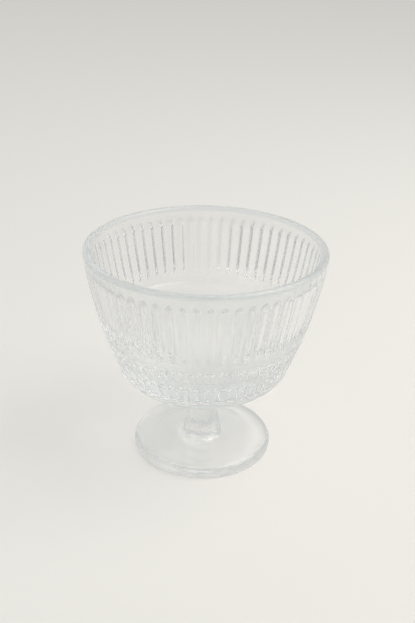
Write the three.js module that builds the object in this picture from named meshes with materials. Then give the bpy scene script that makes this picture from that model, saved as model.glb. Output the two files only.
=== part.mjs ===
// A footed ice cream glass in clear pressed glass: a flared bowl with a band of tall flutes over two bands
// of short ribs, a short waisted stem and a round foot. Millimetres, +Z up, origin under the foot's centre.
// The three portions are welded to each other on flat round lands.

import * as THREE from "three";

// Overall sizes
const overallHeight = 100;
const rimRadius = 53;
const footRadius = 32;

// Bowl: the wall is measured on its outside, over the ribs
const wallFootRadius = 38.4; // where the wall meets the rounded corner of the bottom
const wallBow = 2; // how far the wall swells out from a straight cone
const wallThickness = 3.4;
const lipRadius = 1.7; // the fire-polished rim is a half round
const bottomCornerRadius = 12;
const undersideTilt = THREE.MathUtils.degToRad(6);
const floorThickness = 6.2; // from the weld to the inside floor
const insideCornerRadius = 9;

// Tall flutes, cut into the wall side by side
const fluteCount = 60;
const fluteDepth = 0.85;
const fluteRunOut = 3; // length over which a flute grows to its full depth
const plainBandHeight = 4.4; // from the rim down to the flutes
const plainRingHeight = 1.6; // plain wall under the flutes

// Short ribs, standing between grooves
const upperRibCount = 90;
const upperRibLength = 5.9;
const lowerRibCount = 60;
const lowerRibLength = 8;
const ribDepth = 0.6;
const ribShift = 0.5; // share of a rib's width by which both bands are turned from +X
const ribRunOut = 0.8; // length of a rib's rounded end
const ribGap = 3.3; // groove between the two bands
const upperGrooveHeight = 2; // groove between the upper ribs and the plain ring
const wallFootGap = 0.5; // from the rounded corner up to the lower ribs

// Stem
const weldHeight = 34.4; // where the stem meets the bowl
const bowlWeldRadius = 11;
const footWeldRadius = 8;
const upperPull = 4.7; // how far the stem's sides are drawn in near the bowl
const lowerPull = 1.1; // and near the foot
const pullPlace = 0.28; // share of the stem's length from each weld to where its sides are drawn in

// Foot
const footHubHeight = 9; // where the stem meets the foot
const footShoulderRadius = 27; // where the flat top turns into the rounded edge
const footShoulderHeight = 6;
const footEdgeHeight = 2; // height of the widest circle
const edgeFullness = 0.3; // how far below the shoulder the edge's rounding is drawn to its corner
const sweepWidth = 7; // the top sweeps up to the stem over this width
const sweepFootHeight = 6.3; // from this height,
const sweepTightness = 0.6; // and is drawn to a corner this far out from the stem
const sweepLift = 0.4; // and this far above the sweep's foot
const standRingInside = 26; // the ring that the glass stands on
const standRingOutside = 30.6;
const recessDepth = 1.3; // hollow under the foot
const recessSlope = 3; // width of the hollow's slanting border

// Facets
const roundFacets = 72;
const facetsPerFlute = 4;
const facetsPerRib = 4;
const wallSteps = 2;
const runOutSteps = 2;
const cornerSteps = 3;
const lipSteps = 4;
const insideSteps = 4;
const stemSteps = 9;
const footSteps = 4;
const sweepSteps = 4;

const glass = new THREE.MeshStandardMaterial({
  color: 0xe9eeeb,
  roughness: 0.03,
  metalness: 0,
  transparent: true,
  opacity: 0.35,
});

// Bowl heights, from the weld up
const rimFootHeight = overallHeight - lipRadius;
const fluteTop = overallHeight - plainBandHeight;
const straightFlare = rimRadius - wallFootRadius;

// The wall's lean from upright at its foot. The corner's own height depends on the lean, so the two are
// settled together in a few rounds.
function settleWallFoot() {
  let lean = Math.atan(straightFlare / (rimFootHeight - weldHeight));
  let foot;
  for (let round = 0; round < 20; round++) {
    const lowRadius = wallFootRadius - bottomCornerRadius * (Math.cos(lean) - Math.sin(undersideTilt));
    const lowHeight = weldHeight + (lowRadius - bowlWeldRadius) * Math.tan(undersideTilt);
    const height = lowHeight + bottomCornerRadius * (Math.cos(undersideTilt) - Math.sin(lean));
    foot = { height, lean, lowRadius, lowHeight };
    lean = Math.atan((straightFlare + 4 * wallBow) / (rimFootHeight - height));
  }
  return foot;
}

const wallFoot = settleWallFoot();
const lowerRibsFrom = wallFoot.height + wallFootGap;
const lowerRibsTo = lowerRibsFrom + lowerRibLength;
const upperRibsFrom = lowerRibsTo + ribGap;
const upperRibsTo = upperRibsFrom + upperRibLength;
const plainRingFrom = upperRibsTo + upperGrooveHeight;
const fluteBottom = plainRingFrom + plainRingHeight;
const floorHeight = weldHeight + floorThickness;

// Radius of the wall's outside at a height: a cone with a shallow swell.
function wallRadius(height) {
  const t = (height - wallFoot.height) / (rimFootHeight - wallFoot.height);
  return wallFootRadius + straightFlare * t + 4 * wallBow * t * (1 - t);
}

// Place across one flute or rib, from -1 at one border through 0 in its middle to 1 at the other.
function across(angle, count, shift) {
  const share = (angle * count) / (2 * Math.PI) + shift;
  return 2 * (share - Math.floor(share)) - 1;
}

// A flute is a round hollow between two ridges. Where it has only a share of its depth, near its ends, it is
// narrower too, so that its ends are arched.
function fluteRelief(share) {
  const reach = Math.sqrt(share);
  return (angle) => {
    const place = Math.abs(across(angle, fluteCount, 0));
    return place < reach ? fluteDepth * share * (1 - (place / reach) ** 2) : 0;
  };
}

// A rib is a flat-topped bar between two narrow valleys.
function ribRelief(count) {
  return (angle) => ribDepth * across(angle, count, ribShift) ** 4;
}

// A ring of the bowl's skin, with each point at its own distance from the axis.
function ring(columns, height, radiusAt) {
  const points = [];
  for (let i = 0; i < columns; i++) {
    const angle = (2 * Math.PI * i) / columns;
    const radius = radiusAt(angle);
    points.push(new THREE.Vector3(radius * Math.cos(angle), radius * Math.sin(angle), height));
  }
  return points;
}

function roundRing(height, radius) {
  return ring(roundFacets, height, () => radius);
}

// A ring on the wall that is sunk by a relief.
function reliefRing(columns, height, relief) {
  return ring(columns, height, (angle) => wallRadius(height) - relief(angle));
}

// Flat weld land, sloping underside and rounded corner, up to the foot of the wall.
function bottomRings() {
  const rings = [roundRing(weldHeight, bowlWeldRadius), roundRing(wallFoot.lowHeight, wallFoot.lowRadius)];
  const centre = new THREE.Vector2(
    wallFoot.lowRadius - bottomCornerRadius * Math.sin(undersideTilt),
    wallFoot.lowHeight + bottomCornerRadius * Math.cos(undersideTilt),
  );
  for (let i = 1; i <= cornerSteps; i++) {
    const low = Math.PI / 2 - undersideTilt;
    const below = low + ((wallFoot.lean - low) * i) / cornerSteps;
    const radius = centre.x + bottomCornerRadius * Math.cos(below);
    rings.push(roundRing(centre.y - bottomCornerRadius * Math.sin(below), radius));
  }
  return rings;
}

// Short ribs rise from the groove below, run up the wall and fall to the groove above.
function ribRings(count, from, to) {
  const columns = count * facetsPerRib;
  const relief = ribRelief(count);
  const groove = () => ribDepth;
  return [
    reliefRing(columns, from, groove),
    reliefRing(columns, from + ribRunOut, relief),
    reliefRing(columns, to - ribRunOut, relief),
    reliefRing(columns, to, groove),
  ];
}

// Tall flutes, which grow to their full depth over a smooth run-out at either end.
function fluteRings() {
  const columns = fluteCount * facetsPerFlute;
  const low = fluteBottom + fluteRunOut;
  const high = fluteTop - fluteRunOut;
  const below = [];
  const above = [];
  for (let i = 0; i <= runOutSteps; i++) {
    const along = i / runOutSteps;
    const relief = fluteRelief(Math.sin((Math.PI / 2) * along) ** 2);
    below.push(reliefRing(columns, fluteBottom + fluteRunOut * along, relief));
    above.unshift(reliefRing(columns, fluteTop - fluteRunOut * along, relief));
  }
  const between = [];
  for (let i = 1; i < wallSteps; i++) {
    between.push(reliefRing(columns, low + ((high - low) * i) / wallSteps, fluteRelief(1)));
  }
  return [...below, ...between, ...above];
}

// The rim goes over in a half round from the outside to the inside.
function lipRings() {
  const rings = [];
  for (let i = 0; i <= lipSteps; i++) {
    const turn = (Math.PI * i) / lipSteps;
    const radius = rimRadius - lipRadius * (1 - Math.cos(turn));
    rings.push(roundRing(rimFootHeight + lipRadius * Math.sin(turn), radius));
  }
  return rings;
}

// The smooth inside, from the rim down to the rounded corner and the flat floor.
function insideRings() {
  const lean = wallFoot.lean;
  const foot = floorHeight + insideCornerRadius * (1 - Math.sin(lean));
  const insideFootRadius = wallRadius(foot) - wallThickness;
  const rings = [];
  for (let i = 1; i < insideSteps; i++) {
    const height = rimFootHeight + ((foot - rimFootHeight) * i) / insideSteps;
    const thickness = THREE.MathUtils.lerp(2 * lipRadius, wallThickness, i / insideSteps);
    rings.push(roundRing(height, wallRadius(height) - thickness));
  }
  const centre = new THREE.Vector2(
    insideFootRadius - insideCornerRadius * Math.cos(lean),
    floorHeight + insideCornerRadius,
  );
  for (let i = 0; i <= cornerSteps; i++) {
    const below = lean + ((Math.PI / 2 - lean) * i) / cornerSteps;
    const radius = centre.x + insideCornerRadius * Math.cos(below);
    rings.push(roundRing(centre.y - insideCornerRadius * Math.sin(below), radius));
  }
  return rings;
}

// Skins a list of rings into one closed body. Neighbouring rings may have different numbers of points, and
// the first and the last are closed with a flat fan.
function skin(rings) {
  const vertices = [];
  const triangles = [];
  const starts = rings.map((points) => {
    const start = vertices.length / 3;
    points.forEach((p) => vertices.push(p.x, p.y, p.z));
    return start;
  });
  for (let k = 0; k + 1 < rings.length; k++) {
    const low = rings[k].length;
    const high = rings[k + 1].length;
    let i = 0;
    let j = 0;
    while (i < low || j < high) {
      const a = starts[k] + (i % low);
      const b = starts[k + 1] + (j % high);
      if ((i + 1) * high <= (j + 1) * low) {
        triangles.push(a, starts[k] + ((i + 1) % low), b);
        i++;
      } else {
        triangles.push(a, starts[k + 1] + ((j + 1) % high), b);
        j++;
      }
    }
  }
  const closeWithFan = (k, facingUp) => {
    const centre = vertices.length / 3;
    vertices.push(0, 0, rings[k][0].z);
    const count = rings[k].length;
    for (let i = 0; i < count; i++) {
      const here = starts[k] + i;
      const next = starts[k] + ((i + 1) % count);
      triangles.push(centre, facingUp ? here : next, facingUp ? next : here);
    }
  };
  closeWithFan(0, false);
  closeWithFan(rings.length - 1, true);
  const geometry = new THREE.BufferGeometry();
  geometry.setAttribute("position", new THREE.Float32BufferAttribute(vertices, 3));
  geometry.setIndex(triangles);
  return geometry;
}

// Turns an outline of (radius, height) points, which runs from the axis back to the axis, about +Z.
function turned(outline) {
  return new THREE.LatheGeometry(outline, roundFacets).rotateX(Math.PI / 2);
}

function named(name, geometry) {
  geometry.computeVertexNormals();
  const mesh = new THREE.Mesh(geometry, glass);
  mesh.name = name;
  return mesh;
}

function makeBowl() {
  const rings = [
    ...bottomRings(),
    ...ribRings(lowerRibCount, lowerRibsFrom, lowerRibsTo),
    ...ribRings(upperRibCount, upperRibsFrom, upperRibsTo),
    roundRing(plainRingFrom, wallRadius(plainRingFrom)),
    ...fluteRings(),
    ...lipRings(),
    ...insideRings(),
  ];
  return named("bowl", skin(rings));
}

// The stem is a solid bar whose sides are drawn in between its two flat ends.
function makeStem() {
  const length = weldHeight - footHubHeight;
  const sides = new THREE.CubicBezierCurve(
    new THREE.Vector2(footWeldRadius, footHubHeight),
    new THREE.Vector2(footWeldRadius - lowerPull, footHubHeight + pullPlace * length),
    new THREE.Vector2(bowlWeldRadius - upperPull, weldHeight - pullPlace * length),
    new THREE.Vector2(bowlWeldRadius, weldHeight),
  );
  const outline = [
    new THREE.Vector2(0, footHubHeight),
    ...sides.getPoints(stemSteps),
    new THREE.Vector2(0, weldHeight),
  ];
  return named("stem", turned(outline));
}

// The foot is a thick disc with a rounded edge. It stands on a ring round a shallow hollow, and its top
// sweeps up to the stem.
function makeFoot() {
  const underEdge = new THREE.QuadraticBezierCurve(
    new THREE.Vector2(standRingOutside, 0),
    new THREE.Vector2(footRadius, 0),
    new THREE.Vector2(footRadius, footEdgeHeight),
  );
  const overEdge = new THREE.QuadraticBezierCurve(
    new THREE.Vector2(footRadius, footEdgeHeight),
    new THREE.Vector2(footRadius, footShoulderHeight - edgeFullness),
    new THREE.Vector2(footShoulderRadius, footShoulderHeight),
  );
  const sweep = new THREE.QuadraticBezierCurve(
    new THREE.Vector2(footWeldRadius + sweepWidth, sweepFootHeight),
    new THREE.Vector2(footWeldRadius + sweepTightness, sweepFootHeight + sweepLift),
    new THREE.Vector2(footWeldRadius, footHubHeight),
  );
  const outline = [
    new THREE.Vector2(0, recessDepth),
    new THREE.Vector2(standRingInside - recessSlope, recessDepth),
    new THREE.Vector2(standRingInside, 0),
    ...underEdge.getPoints(footSteps),
    ...overEdge.getPoints(footSteps).slice(1),
    ...sweep.getPoints(sweepSteps),
    new THREE.Vector2(0, footHubHeight),
  ];
  return named("foot", turned(outline));
}

const iceCreamGlass = new THREE.Group();
iceCreamGlass.add(makeBowl(), makeStem(), makeFoot());

export default iceCreamGlass;
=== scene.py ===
import math

import bpy
import numpy as np
from mathutils import Matrix, Vector


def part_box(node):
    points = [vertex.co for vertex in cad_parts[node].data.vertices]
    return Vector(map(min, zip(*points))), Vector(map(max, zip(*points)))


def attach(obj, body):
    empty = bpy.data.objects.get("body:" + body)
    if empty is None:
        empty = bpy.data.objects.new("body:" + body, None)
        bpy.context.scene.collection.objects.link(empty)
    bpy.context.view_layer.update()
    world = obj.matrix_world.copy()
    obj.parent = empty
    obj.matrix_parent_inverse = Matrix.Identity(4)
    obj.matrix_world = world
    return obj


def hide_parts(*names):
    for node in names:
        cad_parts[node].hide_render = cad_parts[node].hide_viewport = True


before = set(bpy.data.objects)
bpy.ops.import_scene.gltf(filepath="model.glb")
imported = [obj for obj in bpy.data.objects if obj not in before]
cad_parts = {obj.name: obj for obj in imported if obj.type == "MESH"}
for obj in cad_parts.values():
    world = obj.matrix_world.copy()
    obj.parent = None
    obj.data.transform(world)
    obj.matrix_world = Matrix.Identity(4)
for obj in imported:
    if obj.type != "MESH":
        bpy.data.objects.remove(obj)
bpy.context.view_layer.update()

# A footed ice cream glass in clear pressed glass. Its sizes are millimetres and degrees.
mm = 0.001
sharpFrom = 72  # a crease steeper than this isn't shaded round
bowlLow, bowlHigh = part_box("bowl")
stemLow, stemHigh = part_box("stem")
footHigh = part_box("foot")[1]
print("frame loaded")


# Rings and skins

# the order in which a piece gets its materials
outsideSlot = 0
weldSlot = 1
insideSlot = 2


def ringOf(columns, height, radius):
    # radius is one number or a function of the angle
    angle = 2 * math.pi * np.arange(columns) / columns
    r = radius(angle) if callable(radius) else np.full(columns, float(radius))
    return np.stack([r * np.cos(angle), r * np.sin(angle), np.full(columns, float(height))], axis=1)


def stitch(lowStart, lowCount, highStart, highCount):
    # triangles between two rings that may have different numbers of points
    faces = []
    i = 0
    j = 0
    while i < lowCount or j < highCount:
        a = lowStart + i % lowCount
        b = highStart + j % highCount
        if (i + 1) * highCount <= (j + 1) * lowCount:
            faces.append((a, lowStart + (i + 1) % lowCount, b))
            i += 1
        else:
            faces.append((a, highStart + (j + 1) % highCount, b))
            j += 1
    return faces


def quads(lowStart, highStart, count):
    faces = []
    for i in range(count):
        k = (i + 1) % count
        faces.append((lowStart + i, lowStart + k, highStart + k, highStart + i))
    return faces


def skinOf(name, rings, closings, insideFrom=None):
    # closings gives the material slots of the two end discs, and insideFrom the first ring of the inside
    points = np.concatenate(rings)
    starts = np.cumsum([0] + [len(r) for r in rings])
    faces = []
    slots = []
    for k in range(len(rings) - 1):
        low = len(rings[k])
        high = len(rings[k + 1])
        if low == high:
            faces += quads(int(starts[k]), int(starts[k + 1]), low)
        else:
            faces += stitch(int(starts[k]), low, int(starts[k + 1]), high)
        slot = insideSlot if insideFrom is not None and k >= insideFrom else outsideSlot
        slots += [slot] * (len(faces) - len(slots))
    centres = []
    for k, slot, turned in ((0, closings[0], True), (len(rings) - 1, closings[1], False)):
        centre = len(points) + len(centres)
        centres.append((0, 0, rings[k][0][2]))
        count = len(rings[k])
        for i in range(count):
            here = int(starts[k]) + i
            after = int(starts[k]) + (i + 1) % count
            faces.append((centre, after, here) if turned else (centre, here, after))
            slots.append(slot)
    points = np.concatenate([points, np.array(centres)]) * mm
    mesh = bpy.data.meshes.new(name)
    mesh.from_pydata(points.tolist(), [], faces)
    mesh.polygons.foreach_set("material_index", slots)
    mesh.polygons.foreach_set("use_smooth", [True] * len(faces))
    mesh.set_sharp_from_angle(angle=math.radians(sharpFrom))
    mesh.validate()
    piece = bpy.data.objects.new(name, mesh)
    bpy.context.scene.collection.objects.link(piece)
    return piece


def across(angle, count, phase):
    # place across one flute or rib: -1 at one border, 0 in its middle, 1 at the other
    share = angle * count / (2 * math.pi) + phase
    return 2 * (share - np.floor(share)) - 1


def endShare(height, low, high, lowRun, highRun):
    # 0 along the straight stretch, rising to 1 at either rounded end
    return max((low + lowRun - height) / lowRun, (height - high + highRun) / highRun, 0)


# Bowl

bowl = {
    "rimRadius": bowlHigh.x / mm,
    "height": bowlHigh.z / mm,
    "weldHeight": bowlLow.z / mm,
    "weldRadius": 11,
    "wallFootRadius": 38.4,
    "wallBow": 2,
    "wallThickness": 3.4,
    "lipRadius": 1.7,
    "cornerRadius": 12,
    "undersideTilt": 6,
    "stepAbove": 0.1,
    "ribsAbove": 0.5,
    "floorThickness": 6.2,
    "insideCorner": 9,
    "floorShares": (0.7, 0.35),
    "columns": 720,
    "plainColumns": 240,
}

flutes = {
    "count": 60,
    "depth": 1.55,
    "phase": 0,
    "width": 1,
    "sharpness": 0.98,
    "runOut": 4.8,
    "lowRunOut": 6,
    "leastShare": 0.001,
    "bandAbove": 4.2,
    "ring": 1.6,
}

upperRibs = {"count": 90, "depth": 0.5, "phase": 0.5, "runOut": 1.4, "length": 5.9, "groove": 2}
lowerRibs = {"count": 60, "depth": 0.7, "phase": 0.5, "runOut": 1.9, "length": 8, "groove": 3.3}
grooveStep = {"from": 0.3, "past": 0.4}

# how many rings of points each stretch of the bowl has
ringCounts = {
    "underside": 8,
    "corner": 15,
    "footStep": 5,
    "ribEnd": 7,
    "ribMiddle": 4,
    "grooveStep": 8,
    "fluteEnd": 10,
    "fluteMiddle": 14,
    "lip": 17,
    "inside": 30,
    "insideCorner": 14,
}


def settleWallFoot():
    # the lean of the wall at its foot and the height of the corner depend on each other
    tilt = math.radians(bowl["undersideTilt"])
    flare = bowl["rimRadius"] - bowl["wallFootRadius"]
    top = bowl["height"] - bowl["lipRadius"]
    corner = bowl["cornerRadius"]
    lean = math.atan(flare / (top - bowl["weldHeight"]))
    rounds = 20
    for _ in range(rounds):
        lowRadius = bowl["wallFootRadius"] - corner * (math.cos(lean) - math.sin(tilt))
        lowHeight = bowl["weldHeight"] + (lowRadius - bowl["weldRadius"]) * math.tan(tilt)
        height = lowHeight + corner * (math.cos(tilt) - math.sin(lean))
        lean = math.atan((flare + 4 * bowl["wallBow"]) / (top - height))
    return height, lean, lowRadius, lowHeight


wallFoot, wallLean, undersideRadius, undersideHeight = settleWallFoot()
lipFoot = bowl["height"] - bowl["lipRadius"]
lowerFrom = wallFoot + bowl["ribsAbove"]
lowerTo = lowerFrom + lowerRibs["length"]
upperFrom = lowerTo + lowerRibs["groove"]
upperTo = upperFrom + upperRibs["length"]
fluteFrom = upperTo + upperRibs["groove"] + flutes["ring"]
fluteTo = bowl["height"] - flutes["bandAbove"]


def wallRadius(height):
    t = (height - wallFoot) / (lipFoot - wallFoot)
    flare = bowl["rimRadius"] - bowl["wallFootRadius"]
    return bowl["wallFootRadius"] + flare * t + 4 * bowl["wallBow"] * t * (1 - t)


def undersideRings():
    tilt = math.radians(bowl["undersideTilt"])
    corner = bowl["cornerRadius"]
    rings = []
    for t in np.linspace(0, 1, ringCounts["underside"]):
        radius = bowl["weldRadius"] + (undersideRadius - bowl["weldRadius"]) * t
        height = bowl["weldHeight"] + (undersideHeight - bowl["weldHeight"]) * t
        rings.append(ringOf(bowl["plainColumns"], height, radius))
    centreRadius = undersideRadius - corner * math.sin(tilt)
    centreHeight = undersideHeight + corner * math.cos(tilt)
    for below in np.linspace(math.pi / 2 - tilt, wallLean, ringCounts["corner"])[1:]:
        radius = centreRadius + corner * math.cos(below)
        rings.append(ringOf(bowl["plainColumns"], centreHeight - corner * math.sin(below), radius))
    return rings


def ribRings(ribs, low, high):
    # convex bars between valleys, with round ends, standing on the floor of the grooves
    rings = []
    run = ribs["runOut"]
    ends = run * (1 - np.cos(np.linspace(0, math.pi / 2, ringCounts["ribEnd"])))
    heights = list(low + ends)
    heights += list(np.linspace(low + run, high - run, ringCounts["ribMiddle"])[1:-1])
    heights += list(high - ends[::-1])
    for height in heights:
        w = endShare(height, low, high, run, run)

        def radius(angle, height=height, w=w):
            u = across(angle, ribs["count"], ribs["phase"])
            return wallRadius(height) - ribs["depth"] * (1 - np.maximum(0, 1 - u ** 4 - w * w))

        rings.append(ringOf(bowl["columns"], height, radius))
    return rings


def fluteRings():
    # hollows with steep, nearly straight sides, which meet in ridges and have arched ends
    rings = []
    low, high = fluteFrom, fluteTo
    lowRun, highRun = flutes["lowRunOut"], flutes["runOut"]
    ends = 1 - np.cos(np.linspace(0, math.pi / 2, ringCounts["fluteEnd"]))
    heights = list(low + lowRun * ends)
    heights += list(np.linspace(low + lowRun, high - highRun, ringCounts["fluteMiddle"])[1:-1])
    heights += list(high - highRun * ends[::-1])
    for height in heights:
        w = endShare(height, low, high, lowRun, highRun)

        def radius(angle, height=height, w=w):
            u = np.abs(across(angle, flutes["count"], flutes["phase"]))
            share = max(flutes["leastShare"], math.cos(math.pi / 2 * min(w, 1)) ** 2)
            reach = np.minimum(1, u / (flutes["width"] * math.sqrt(share)))
            sharpness = flutes["sharpness"]
            swing = np.arcsin(sharpness * np.cos(math.pi * reach)) / math.asin(sharpness)
            return wallRadius(height) - flutes["depth"] * share * 0.5 * (1 + swing)

        rings.append(ringOf(bowl["columns"], height, radius))
    return rings


def stepRings(fromHeight, toHeight, fromDepth, toDepth, steps):
    # a rounded step between the wall and the floor of a groove
    rings = []
    for t in np.linspace(0, 1, steps):
        blend = t * t * (3 - 2 * t)
        height = fromHeight + (toHeight - fromHeight) * t
        depth = fromDepth + (toDepth - fromDepth) * blend
        rings.append(ringOf(bowl["columns"], height, wallRadius(height) - depth))
    return rings


def lipRings():
    rings = []
    for turn in np.linspace(0, math.pi, ringCounts["lip"]):
        radius = bowl["rimRadius"] - bowl["lipRadius"] * (1 - math.cos(turn))
        rings.append(ringOf(bowl["plainColumns"], lipFoot + bowl["lipRadius"] * math.sin(turn), radius))
    return rings


def insideRings():
    floor = bowl["weldHeight"] + bowl["floorThickness"]
    corner = bowl["insideCorner"]
    foot = floor + corner * (1 - math.sin(wallLean))
    rings = []
    for t in np.linspace(0, 1, ringCounts["inside"])[1:-1]:
        height = lipFoot + (foot - lipFoot) * t
        thickness = 2 * bowl["lipRadius"] * (1 - t) + bowl["wallThickness"] * t
        rings.append(ringOf(bowl["plainColumns"], height, wallRadius(height) - thickness))
    centre = wallRadius(foot) - bowl["wallThickness"] - corner * math.cos(wallLean)
    for below in np.linspace(wallLean, math.pi / 2, ringCounts["insideCorner"]):
        radius = centre + corner * math.cos(below)
        rings.append(ringOf(bowl["plainColumns"], floor + corner * (1 - math.sin(below)), radius))
    for share in bowl["floorShares"]:
        rings.append(ringOf(bowl["plainColumns"], floor, centre * share))
    return rings


def makeBowl():
    footStep = wallFoot + bowl["stepAbove"]
    stepFrom = upperTo + grooveStep["from"]
    stepTo = upperTo + upperRibs["groove"] + grooveStep["past"]
    rings = undersideRings()
    rings += stepRings(footStep, lowerFrom, 0, lowerRibs["depth"], ringCounts["footStep"])[:-1]
    rings += ribRings(lowerRibs, lowerFrom, lowerTo)
    rings += ribRings(upperRibs, upperFrom, upperTo)
    rings += stepRings(stepFrom, stepTo, upperRibs["depth"], 0, ringCounts["grooveStep"])
    rings += fluteRings()
    rings += lipRings()
    insideFrom = len(rings)
    rings += insideRings()
    return skinOf("fluted_bowl", rings, (weldSlot, insideSlot), insideFrom)


# Stem

stem = {
    "lowRadius": 8,
    "highRadius": bowl["weldRadius"],
    "lowPull": 1.1,
    "highPull": 4.7,
    "pullPlace": 0.28,
    "rings": 40,
    "columns": 180,
}


def bezier(points, steps):
    # a curve through its first and last point, drawn towards the others
    t = np.linspace(0, 1, steps)[:, None]
    level = [np.repeat(np.array([p], float), steps, axis=0) for p in points]
    while len(level) > 1:
        level = [a * (1 - t) + b * t for a, b in zip(level, level[1:])]
    return level[0]


def makeStem():
    low = stemLow.z / mm
    high = stemHigh.z / mm
    pullHeight = stem["pullPlace"] * (high - low)
    outline = bezier(
        [
            (stem["lowRadius"], low),
            (stem["lowRadius"] - stem["lowPull"], low + pullHeight),
            (stem["highRadius"] - stem["highPull"], high - pullHeight),
            (stem["highRadius"], high),
        ],
        stem["rings"],
    )
    rings = [ringOf(stem["columns"], height, radius) for radius, height in outline]
    return skinOf("waisted_stem", rings, (weldSlot, weldSlot))


# Foot

foot = {
    "radius": footHigh.x / mm,
    "hubHeight": footHigh.z / mm,
    "shoulderRadius": 27,
    "shoulderHeight": 6,
    "edgeHeight": 2,
    "fullness": 0.3,
    "slopeCorner": (20, 6.15),
    "sweepCorner": (9.6, 6.9),
    "filletRadius": 15,
    "filletHeight": 6.3,
    "ringInside": 26,
    "ringOutside": 30.6,
    "ringBend": 0.2,
    "ringFlat": 0.3,
    "recessStart": 13,
    "recessDepth": 0.6,
    "recessSlope": 4,
    "recessBend": 0.4,
    "recessRings": 9,
    "edgeRings": 14,
    "shoulderRings": 20,
    "slopeRings": 10,
    "sweepRings": 16,
    "columns": 240,
}


def makeFoot():
    # its outline runs from the hollow underneath round the edge and up to the stem
    radius = foot["radius"]
    depth = foot["recessDepth"]
    slopeFoot = foot["ringInside"] - foot["recessSlope"]
    edge = (radius, foot["edgeHeight"])
    shoulder = (foot["shoulderRadius"], foot["shoulderHeight"])
    fillet = (foot["filletRadius"], foot["filletHeight"])
    hub = (stem["lowRadius"], foot["hubHeight"])
    recessEdge = bezier(
        [
            (slopeFoot - foot["recessBend"], depth),
            (slopeFoot, depth),
            (foot["ringInside"] - foot["ringBend"], 0),
            (foot["ringInside"] + foot["ringFlat"], 0),
        ],
        foot["recessRings"],
    )
    under = bezier([(foot["ringOutside"], 0), (radius, 0), edge], foot["edgeRings"])
    fullCorner = (radius, foot["shoulderHeight"] - foot["fullness"])
    over = bezier([edge, fullCorner, shoulder], foot["shoulderRings"])
    slope = bezier([shoulder, foot["slopeCorner"], fillet], foot["slopeRings"])
    sweep = bezier([fillet, foot["sweepCorner"], hub], foot["sweepRings"])
    recess = [(foot["recessStart"], depth)]
    outline = np.concatenate([recess, recessEdge, under, over[1:], slope[1:], sweep[1:]])
    rings = [ringOf(foot["columns"], height, r) for r, height in outline]
    return skinOf("round_foot", rings, (outsideSlot, weldSlot))


# Nodes

def nodesOf(material):
    material.use_nodes = True
    tree = material.node_tree
    tree.nodes.clear()
    return tree


def noise(tree, place, scale, detail):
    node = tree.nodes.new("ShaderNodeTexNoise")
    node.inputs["Scale"].default_value = scale
    node.inputs["Detail"].default_value = detail
    tree.links.new(place, node.inputs["Vector"])
    return node.outputs["Fac"]


def larger(tree, one, other):
    node = tree.nodes.new("ShaderNodeMath")
    node.operation = "MAXIMUM"
    tree.links.new(one, node.inputs[0])
    tree.links.new(other, node.inputs[1])
    return node.outputs["Value"]


def remap(tree, value, low, high, lowGives=0, highGives=1, soft=False):
    # low gives lowGives and high gives highGives, and both are held beyond
    node = tree.nodes.new("ShaderNodeMapRange")
    node.interpolation_type = "SMOOTHSTEP" if soft else "LINEAR"
    node.inputs["From Min"].default_value = low
    node.inputs["From Max"].default_value = high
    node.inputs["To Min"].default_value = lowGives
    node.inputs["To Max"].default_value = highGives
    tree.links.new(value, node.inputs["Value"])
    return node.outputs["Result"]


def mixColours(tree, share, before, after):
    # after is a colour, and before a colour or what another node gives
    node = tree.nodes.new("ShaderNodeMix")
    node.data_type = "RGBA"
    node.inputs["B"].default_value = after
    tree.links.new(share, node.inputs["Factor"])
    if isinstance(before, tuple):
        node.inputs["A"].default_value = before
    else:
        tree.links.new(before, node.inputs["A"])
    return node.outputs["Result"]


# Glass

glassLook = {
    "tint": (0.93, 0.942, 0.948, 1),
    "clear": (0.962, 0.968, 0.971, 1),
    "tintFrom": 0.35,
    "tintTo": 0.65,
    "edge": (0.72, 0.765, 0.8, 1),
    "edgeBlend": 0.5,
    "edgeFrom": 0.45,
    "edgeTo": 0.95,
    "ior": 1.52,
    "smooth": 0.11,
    "hazy": 0.18,
    "stemSmooth": 0.26,
    "stemHazy": 0.32,
    "hazeFrom": 0.35,
    "hazeTo": 0.75,
    "wornFull": 57,
    "wornTo": 74,
    "worn": 0.46,
    "rimFrom": 97.2,
    "rimTo": 98.8,
    "rimHaze": 0.32,
    # grey-blue painted shade on the rim, standing for the dim room seen in it
    "rimPaintedShade": (0.76, 0.805, 0.835, 1),
    "patch": 55,
    "patchDetail": 3,
    "wave": 120,
    "waveDetail": 1,
    "waveHeight": 0.006,
}


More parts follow.
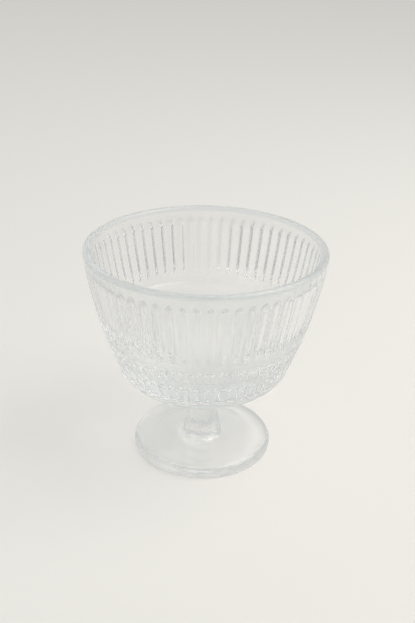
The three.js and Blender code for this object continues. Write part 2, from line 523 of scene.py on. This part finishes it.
def pressedGlass(name, smooth, hazy, wornInside=False):
    # nearly colourless, with faint patches of tint and haze, greyer where it is seen at a low angle,
    # matt at the rim with a grey-blue painted shade on it, and softly wavy all over as pressed glass is
    material = bpy.data.materials.new(name)
    tree = nodesOf(material)
    new = tree.nodes.new
    link = tree.links.new
    place = new("ShaderNodeTexCoord").outputs["Object"]
    split = new("ShaderNodeSeparateXYZ")
    link(place, split.inputs["Vector"])
    height = split.outputs["Z"]
    rim = remap(tree, height, glassLook["rimFrom"] * mm, glassLook["rimTo"] * mm, soft=True)

    patches = noise(tree, place, glassLook["patch"], glassLook["patchDetail"])
    tint = new("ShaderNodeValToRGB")
    tint.color_ramp.elements[0].position = glassLook["tintFrom"]
    tint.color_ramp.elements[0].color = glassLook["tint"]
    tint.color_ramp.elements[1].position = glassLook["tintTo"]
    tint.color_ramp.elements[1].color = glassLook["clear"]
    link(patches, tint.inputs["Fac"])
    facing = new("ShaderNodeLayerWeight")
    facing.inputs["Blend"].default_value = glassLook["edgeBlend"]
    edge = remap(tree, facing.outputs["Facing"], glassLook["edgeFrom"], glassLook["edgeTo"])
    colour = mixColours(tree, edge, tint.outputs["Color"], glassLook["edge"])
    # painted shade: the rim turns grey-blue, standing for the dim room seen in it
    colour = mixColours(tree, rim, colour, glassLook["rimPaintedShade"])

    haze = remap(tree, patches, glassLook["hazeFrom"], glassLook["hazeTo"], smooth, hazy)
    if wornInside:
        # spoons and washing have dulled the inside towards its floor
        full = glassLook["wornFull"] * mm
        none = glassLook["wornTo"] * mm
        haze = larger(tree, haze, remap(tree, height, full, none, glassLook["worn"], 0, soft=True))
    finish = new("ShaderNodeMix")
    finish.inputs["B"].default_value = glassLook["rimHaze"]
    link(rim, finish.inputs["Factor"])
    link(haze, finish.inputs["A"])

    bump = new("ShaderNodeBump")
    bump.inputs["Strength"].default_value = 1
    bump.inputs["Distance"].default_value = glassLook["waveHeight"] * mm
    link(noise(tree, place, glassLook["wave"], glassLook["waveDetail"]), bump.inputs["Height"])

    glass = new("ShaderNodeBsdfPrincipled")
    glass.inputs["IOR"].default_value = glassLook["ior"]
    glass.inputs["Transmission Weight"].default_value = 1
    link(colour, glass.inputs["Base Color"])
    link(finish.outputs["Result"], glass.inputs["Roughness"])
    link(bump.outputs["Normal"], glass.inputs["Normal"])
    out = new("ShaderNodeOutputMaterial")
    link(glass.outputs["BSDF"], out.inputs["Surface"])
    return material


def weldGlass():
    # the discs where two portions meet don't show, because the glass is fused through
    material = bpy.data.materials.new("weld")
    tree = nodesOf(material)
    through = tree.nodes.new("ShaderNodeBsdfTransparent")
    out = tree.nodes.new("ShaderNodeOutputMaterial")
    tree.links.new(through.outputs["BSDF"], out.inputs["Surface"])
    return material


clearGlass = pressedGlass("clear_glass", glassLook["smooth"], glassLook["hazy"])
insideGlass = pressedGlass("bowl_inside", glassLook["smooth"], glassLook["hazy"], wornInside=True)
stemGlass = pressedGlass("stem_glass", glassLook["stemSmooth"], glassLook["stemHazy"])
weld = weldGlass()
for makePiece, node, outside in (
    (makeBowl, "bowl", clearGlass),
    (makeStem, "stem", stemGlass),
    (makeFoot, "foot", clearGlass),
):
    piece = makePiece()
    piece.data.materials.append(outside)
    piece.data.materials.append(weld)
    if node == "bowl":
        piece.data.materials.append(insideGlass)
    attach(piece, "root")
    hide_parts(node)
    print(node, "made with", len(piece.data.polygons), "faces")


# Floor and light

# these are in metres
stage = {
    "floorSize": 12,
    "floorGap": 0.0001,
    "floorColour": (0.516, 0.505, 0.488, 1),
    "floorRoughness": 0.9,
    "floorGlow": (0.35, 0.347, 0.332, 1),
    # where the floor's glow is strongest and how it fades: a painted pool of light
    "poolAt": (0.12, 0.06, 0),
    "poolTo": 6,
    "poolShare": 0.5,
    "lampColour": (1, 0.95, 0.88),
    "lampPower": 4.2,
    "lampSize": 0.7,
    "lampAt": (0.55, -0.05, 0.75),
    "lampTo": (0.05, 0, 0),
}

room = {
    "towards": (0, 0.3, 0.95),
    "dimBelow": 0.05,
    "brightAbove": 0.6,
    "dim": (0.44, 0.448, 0.444, 1),
    "bright": (0.645, 0.656, 0.645, 1),
    "warmSide": (0, -1, 0.1),
    "warmFrom": 0.45,
    "warmTo": 0.85,
    "warm": (0.55, 0.522, 0.488, 1),
    "backdrop": (0.6, 0.588, 0.56, 1),
}


def seenRays(tree):
    # 1 for rays from the camera, also by way of glass or a reflection, and 0 for the light on things
    path = tree.nodes.new("ShaderNodeLightPath")
    seen = path.outputs["Is Camera Ray"]
    for kind in ("Is Glossy Ray", "Is Transmission Ray"):
        seen = larger(tree, seen, path.outputs[kind])
    return seen


def poolOfLight(tree):
    # painted pool of light: 1 beside the glass, falling evenly with the distance over the floor
    place = tree.nodes.new("ShaderNodeTexCoord")
    aside = tree.nodes.new("ShaderNodeVectorMath")
    aside.operation = "SUBTRACT"
    aside.inputs[1].default_value = stage["poolAt"]
    tree.links.new(place.outputs["Object"], aside.inputs[0])
    far = tree.nodes.new("ShaderNodeVectorMath")
    far.operation = "LENGTH"
    tree.links.new(aside.outputs["Vector"], far.inputs[0])
    return remap(tree, far.outputs["Value"], 0, stage["poolTo"], 1, stage["poolShare"])


def makeFloor():
    half = stage["floorSize"] / 2
    level = -stage["floorGap"]
    corners = [(-half, -half, level), (half, -half, level), (half, half, level), (-half, half, level)]
    mesh = bpy.data.meshes.new("floor")
    mesh.from_pydata(corners, [], [(0, 1, 2, 3)])
    floor = bpy.data.objects.new("floor", mesh)
    bpy.context.scene.collection.objects.link(floor)
    material = bpy.data.materials.new("paper")
    tree = nodesOf(material)
    paper = tree.nodes.new("ShaderNodeBsdfPrincipled")
    paper.inputs["Base Color"].default_value = stage["floorColour"]
    paper.inputs["Roughness"].default_value = stage["floorRoughness"]
    paper.inputs["Specular IOR Level"].default_value = 0
    paper.inputs["Emission Color"].default_value = stage["floorGlow"]
    # the floor glows for seen rays, times the painted pool of light, so it is brightest beside the glass
    glow = tree.nodes.new("ShaderNodeMath")
    glow.operation = "MULTIPLY"
    tree.links.new(seenRays(tree), glow.inputs[0])
    tree.links.new(poolOfLight(tree), glow.inputs[1])
    tree.links.new(glow.outputs["Value"], paper.inputs["Emission Strength"])
    out = tree.nodes.new("ShaderNodeOutputMaterial")
    tree.links.new(paper.outputs["BSDF"], out.inputs["Surface"])
    mesh.materials.append(material)


def blendTowards(tree, place, towards, low, high, before, after):
    # a soft change from one colour of the room to another in one direction
    slope = tree.nodes.new("ShaderNodeVectorMath")
    slope.operation = "DOT_PRODUCT"
    slope.inputs[1].default_value = towards
    tree.links.new(place, slope.inputs[0])
    share = remap(tree, slope.outputs["Value"], low, high, soft=True)
    return mixColours(tree, share, before, after)


def makeWorld():
    # a bright ceiling over a dimmer room, warm on one side, and a pale backdrop behind the glass
    world = bpy.data.worlds.new("studio")
    bpy.context.scene.world = world
    world.use_nodes = True
    tree = world.node_tree
    place = tree.nodes.new("ShaderNodeTexCoord").outputs["Generated"]
    ceiling = blendTowards(
        tree, place, room["towards"], room["dimBelow"], room["brightAbove"], room["dim"], room["bright"]
    )
    warmed = blendTowards(
        tree, place, room["warmSide"], room["warmFrom"], room["warmTo"], ceiling, room["warm"]
    )
    path = tree.nodes.new("ShaderNodeLightPath")
    shown = mixColours(tree, path.outputs["Is Camera Ray"], warmed, room["backdrop"])
    tree.links.new(shown, tree.nodes["Background"].inputs["Color"])


def makeLamp():
    light = bpy.data.lights.new("window", "AREA")
    light.shape = "SQUARE"
    light.size = stage["lampSize"]
    light.energy = stage["lampPower"]
    light.color = stage["lampColour"]
    lamp = bpy.data.objects.new("window", light)
    lamp.location = stage["lampAt"]
    aim = Vector(stage["lampTo"]) - Vector(stage["lampAt"])
    lamp.rotation_euler = aim.to_track_quat("-Z", "Y").to_euler()
    bpy.context.scene.collection.objects.link(lamp)


makeFloor()
makeWorld()
makeLamp()
print("floor and light made")


# Camera

view = {
    "at": (1.23, -347.2, 237.7),
    "pitch": 26.04,
    "roll": 1.33,
    "lens": 50,
    "sensor": 36,
    "near": 10,
    "far": 100000,
}

# how often a ray may bend or turn back in the glass, and pass a clear disc
bounces = {"glass": 40, "weld": 16}


def makeCamera():
    data = bpy.data.cameras.new("camera")
    data.lens = view["lens"]
    data.sensor_fit = "VERTICAL"
    data.sensor_height = view["sensor"]
    data.clip_start = view["near"] * mm
    data.clip_end = view["far"] * mm
    camera = bpy.data.objects.new("camera", data)
    tilt = Matrix.Rotation(math.radians(90 - view["pitch"]), 4, "X")
    roll = Matrix.Rotation(math.radians(view["roll"]), 4, "Z")
    camera.matrix_world = Matrix.Translation(Vector(view["at"]) * mm) @ tilt @ roll
    bpy.context.scene.collection.objects.link(camera)
    bpy.context.scene.camera = camera


makeCamera()
scene = bpy.context.scene
scene.view_settings.view_transform = "Standard"
scene.cycles.max_bounces = bounces["glass"]
scene.cycles.transmission_bounces = bounces["glass"]
scene.cycles.glossy_bounces = bounces["glass"]
scene.cycles.transparent_max_bounces = bounces["weld"]
scene.cycles.caustics_refractive = True
scene.cycles.caustics_reflective = True
scene.cycles.use_denoising = True
scene.cycles.blur_glossy = 0
print("camera made")
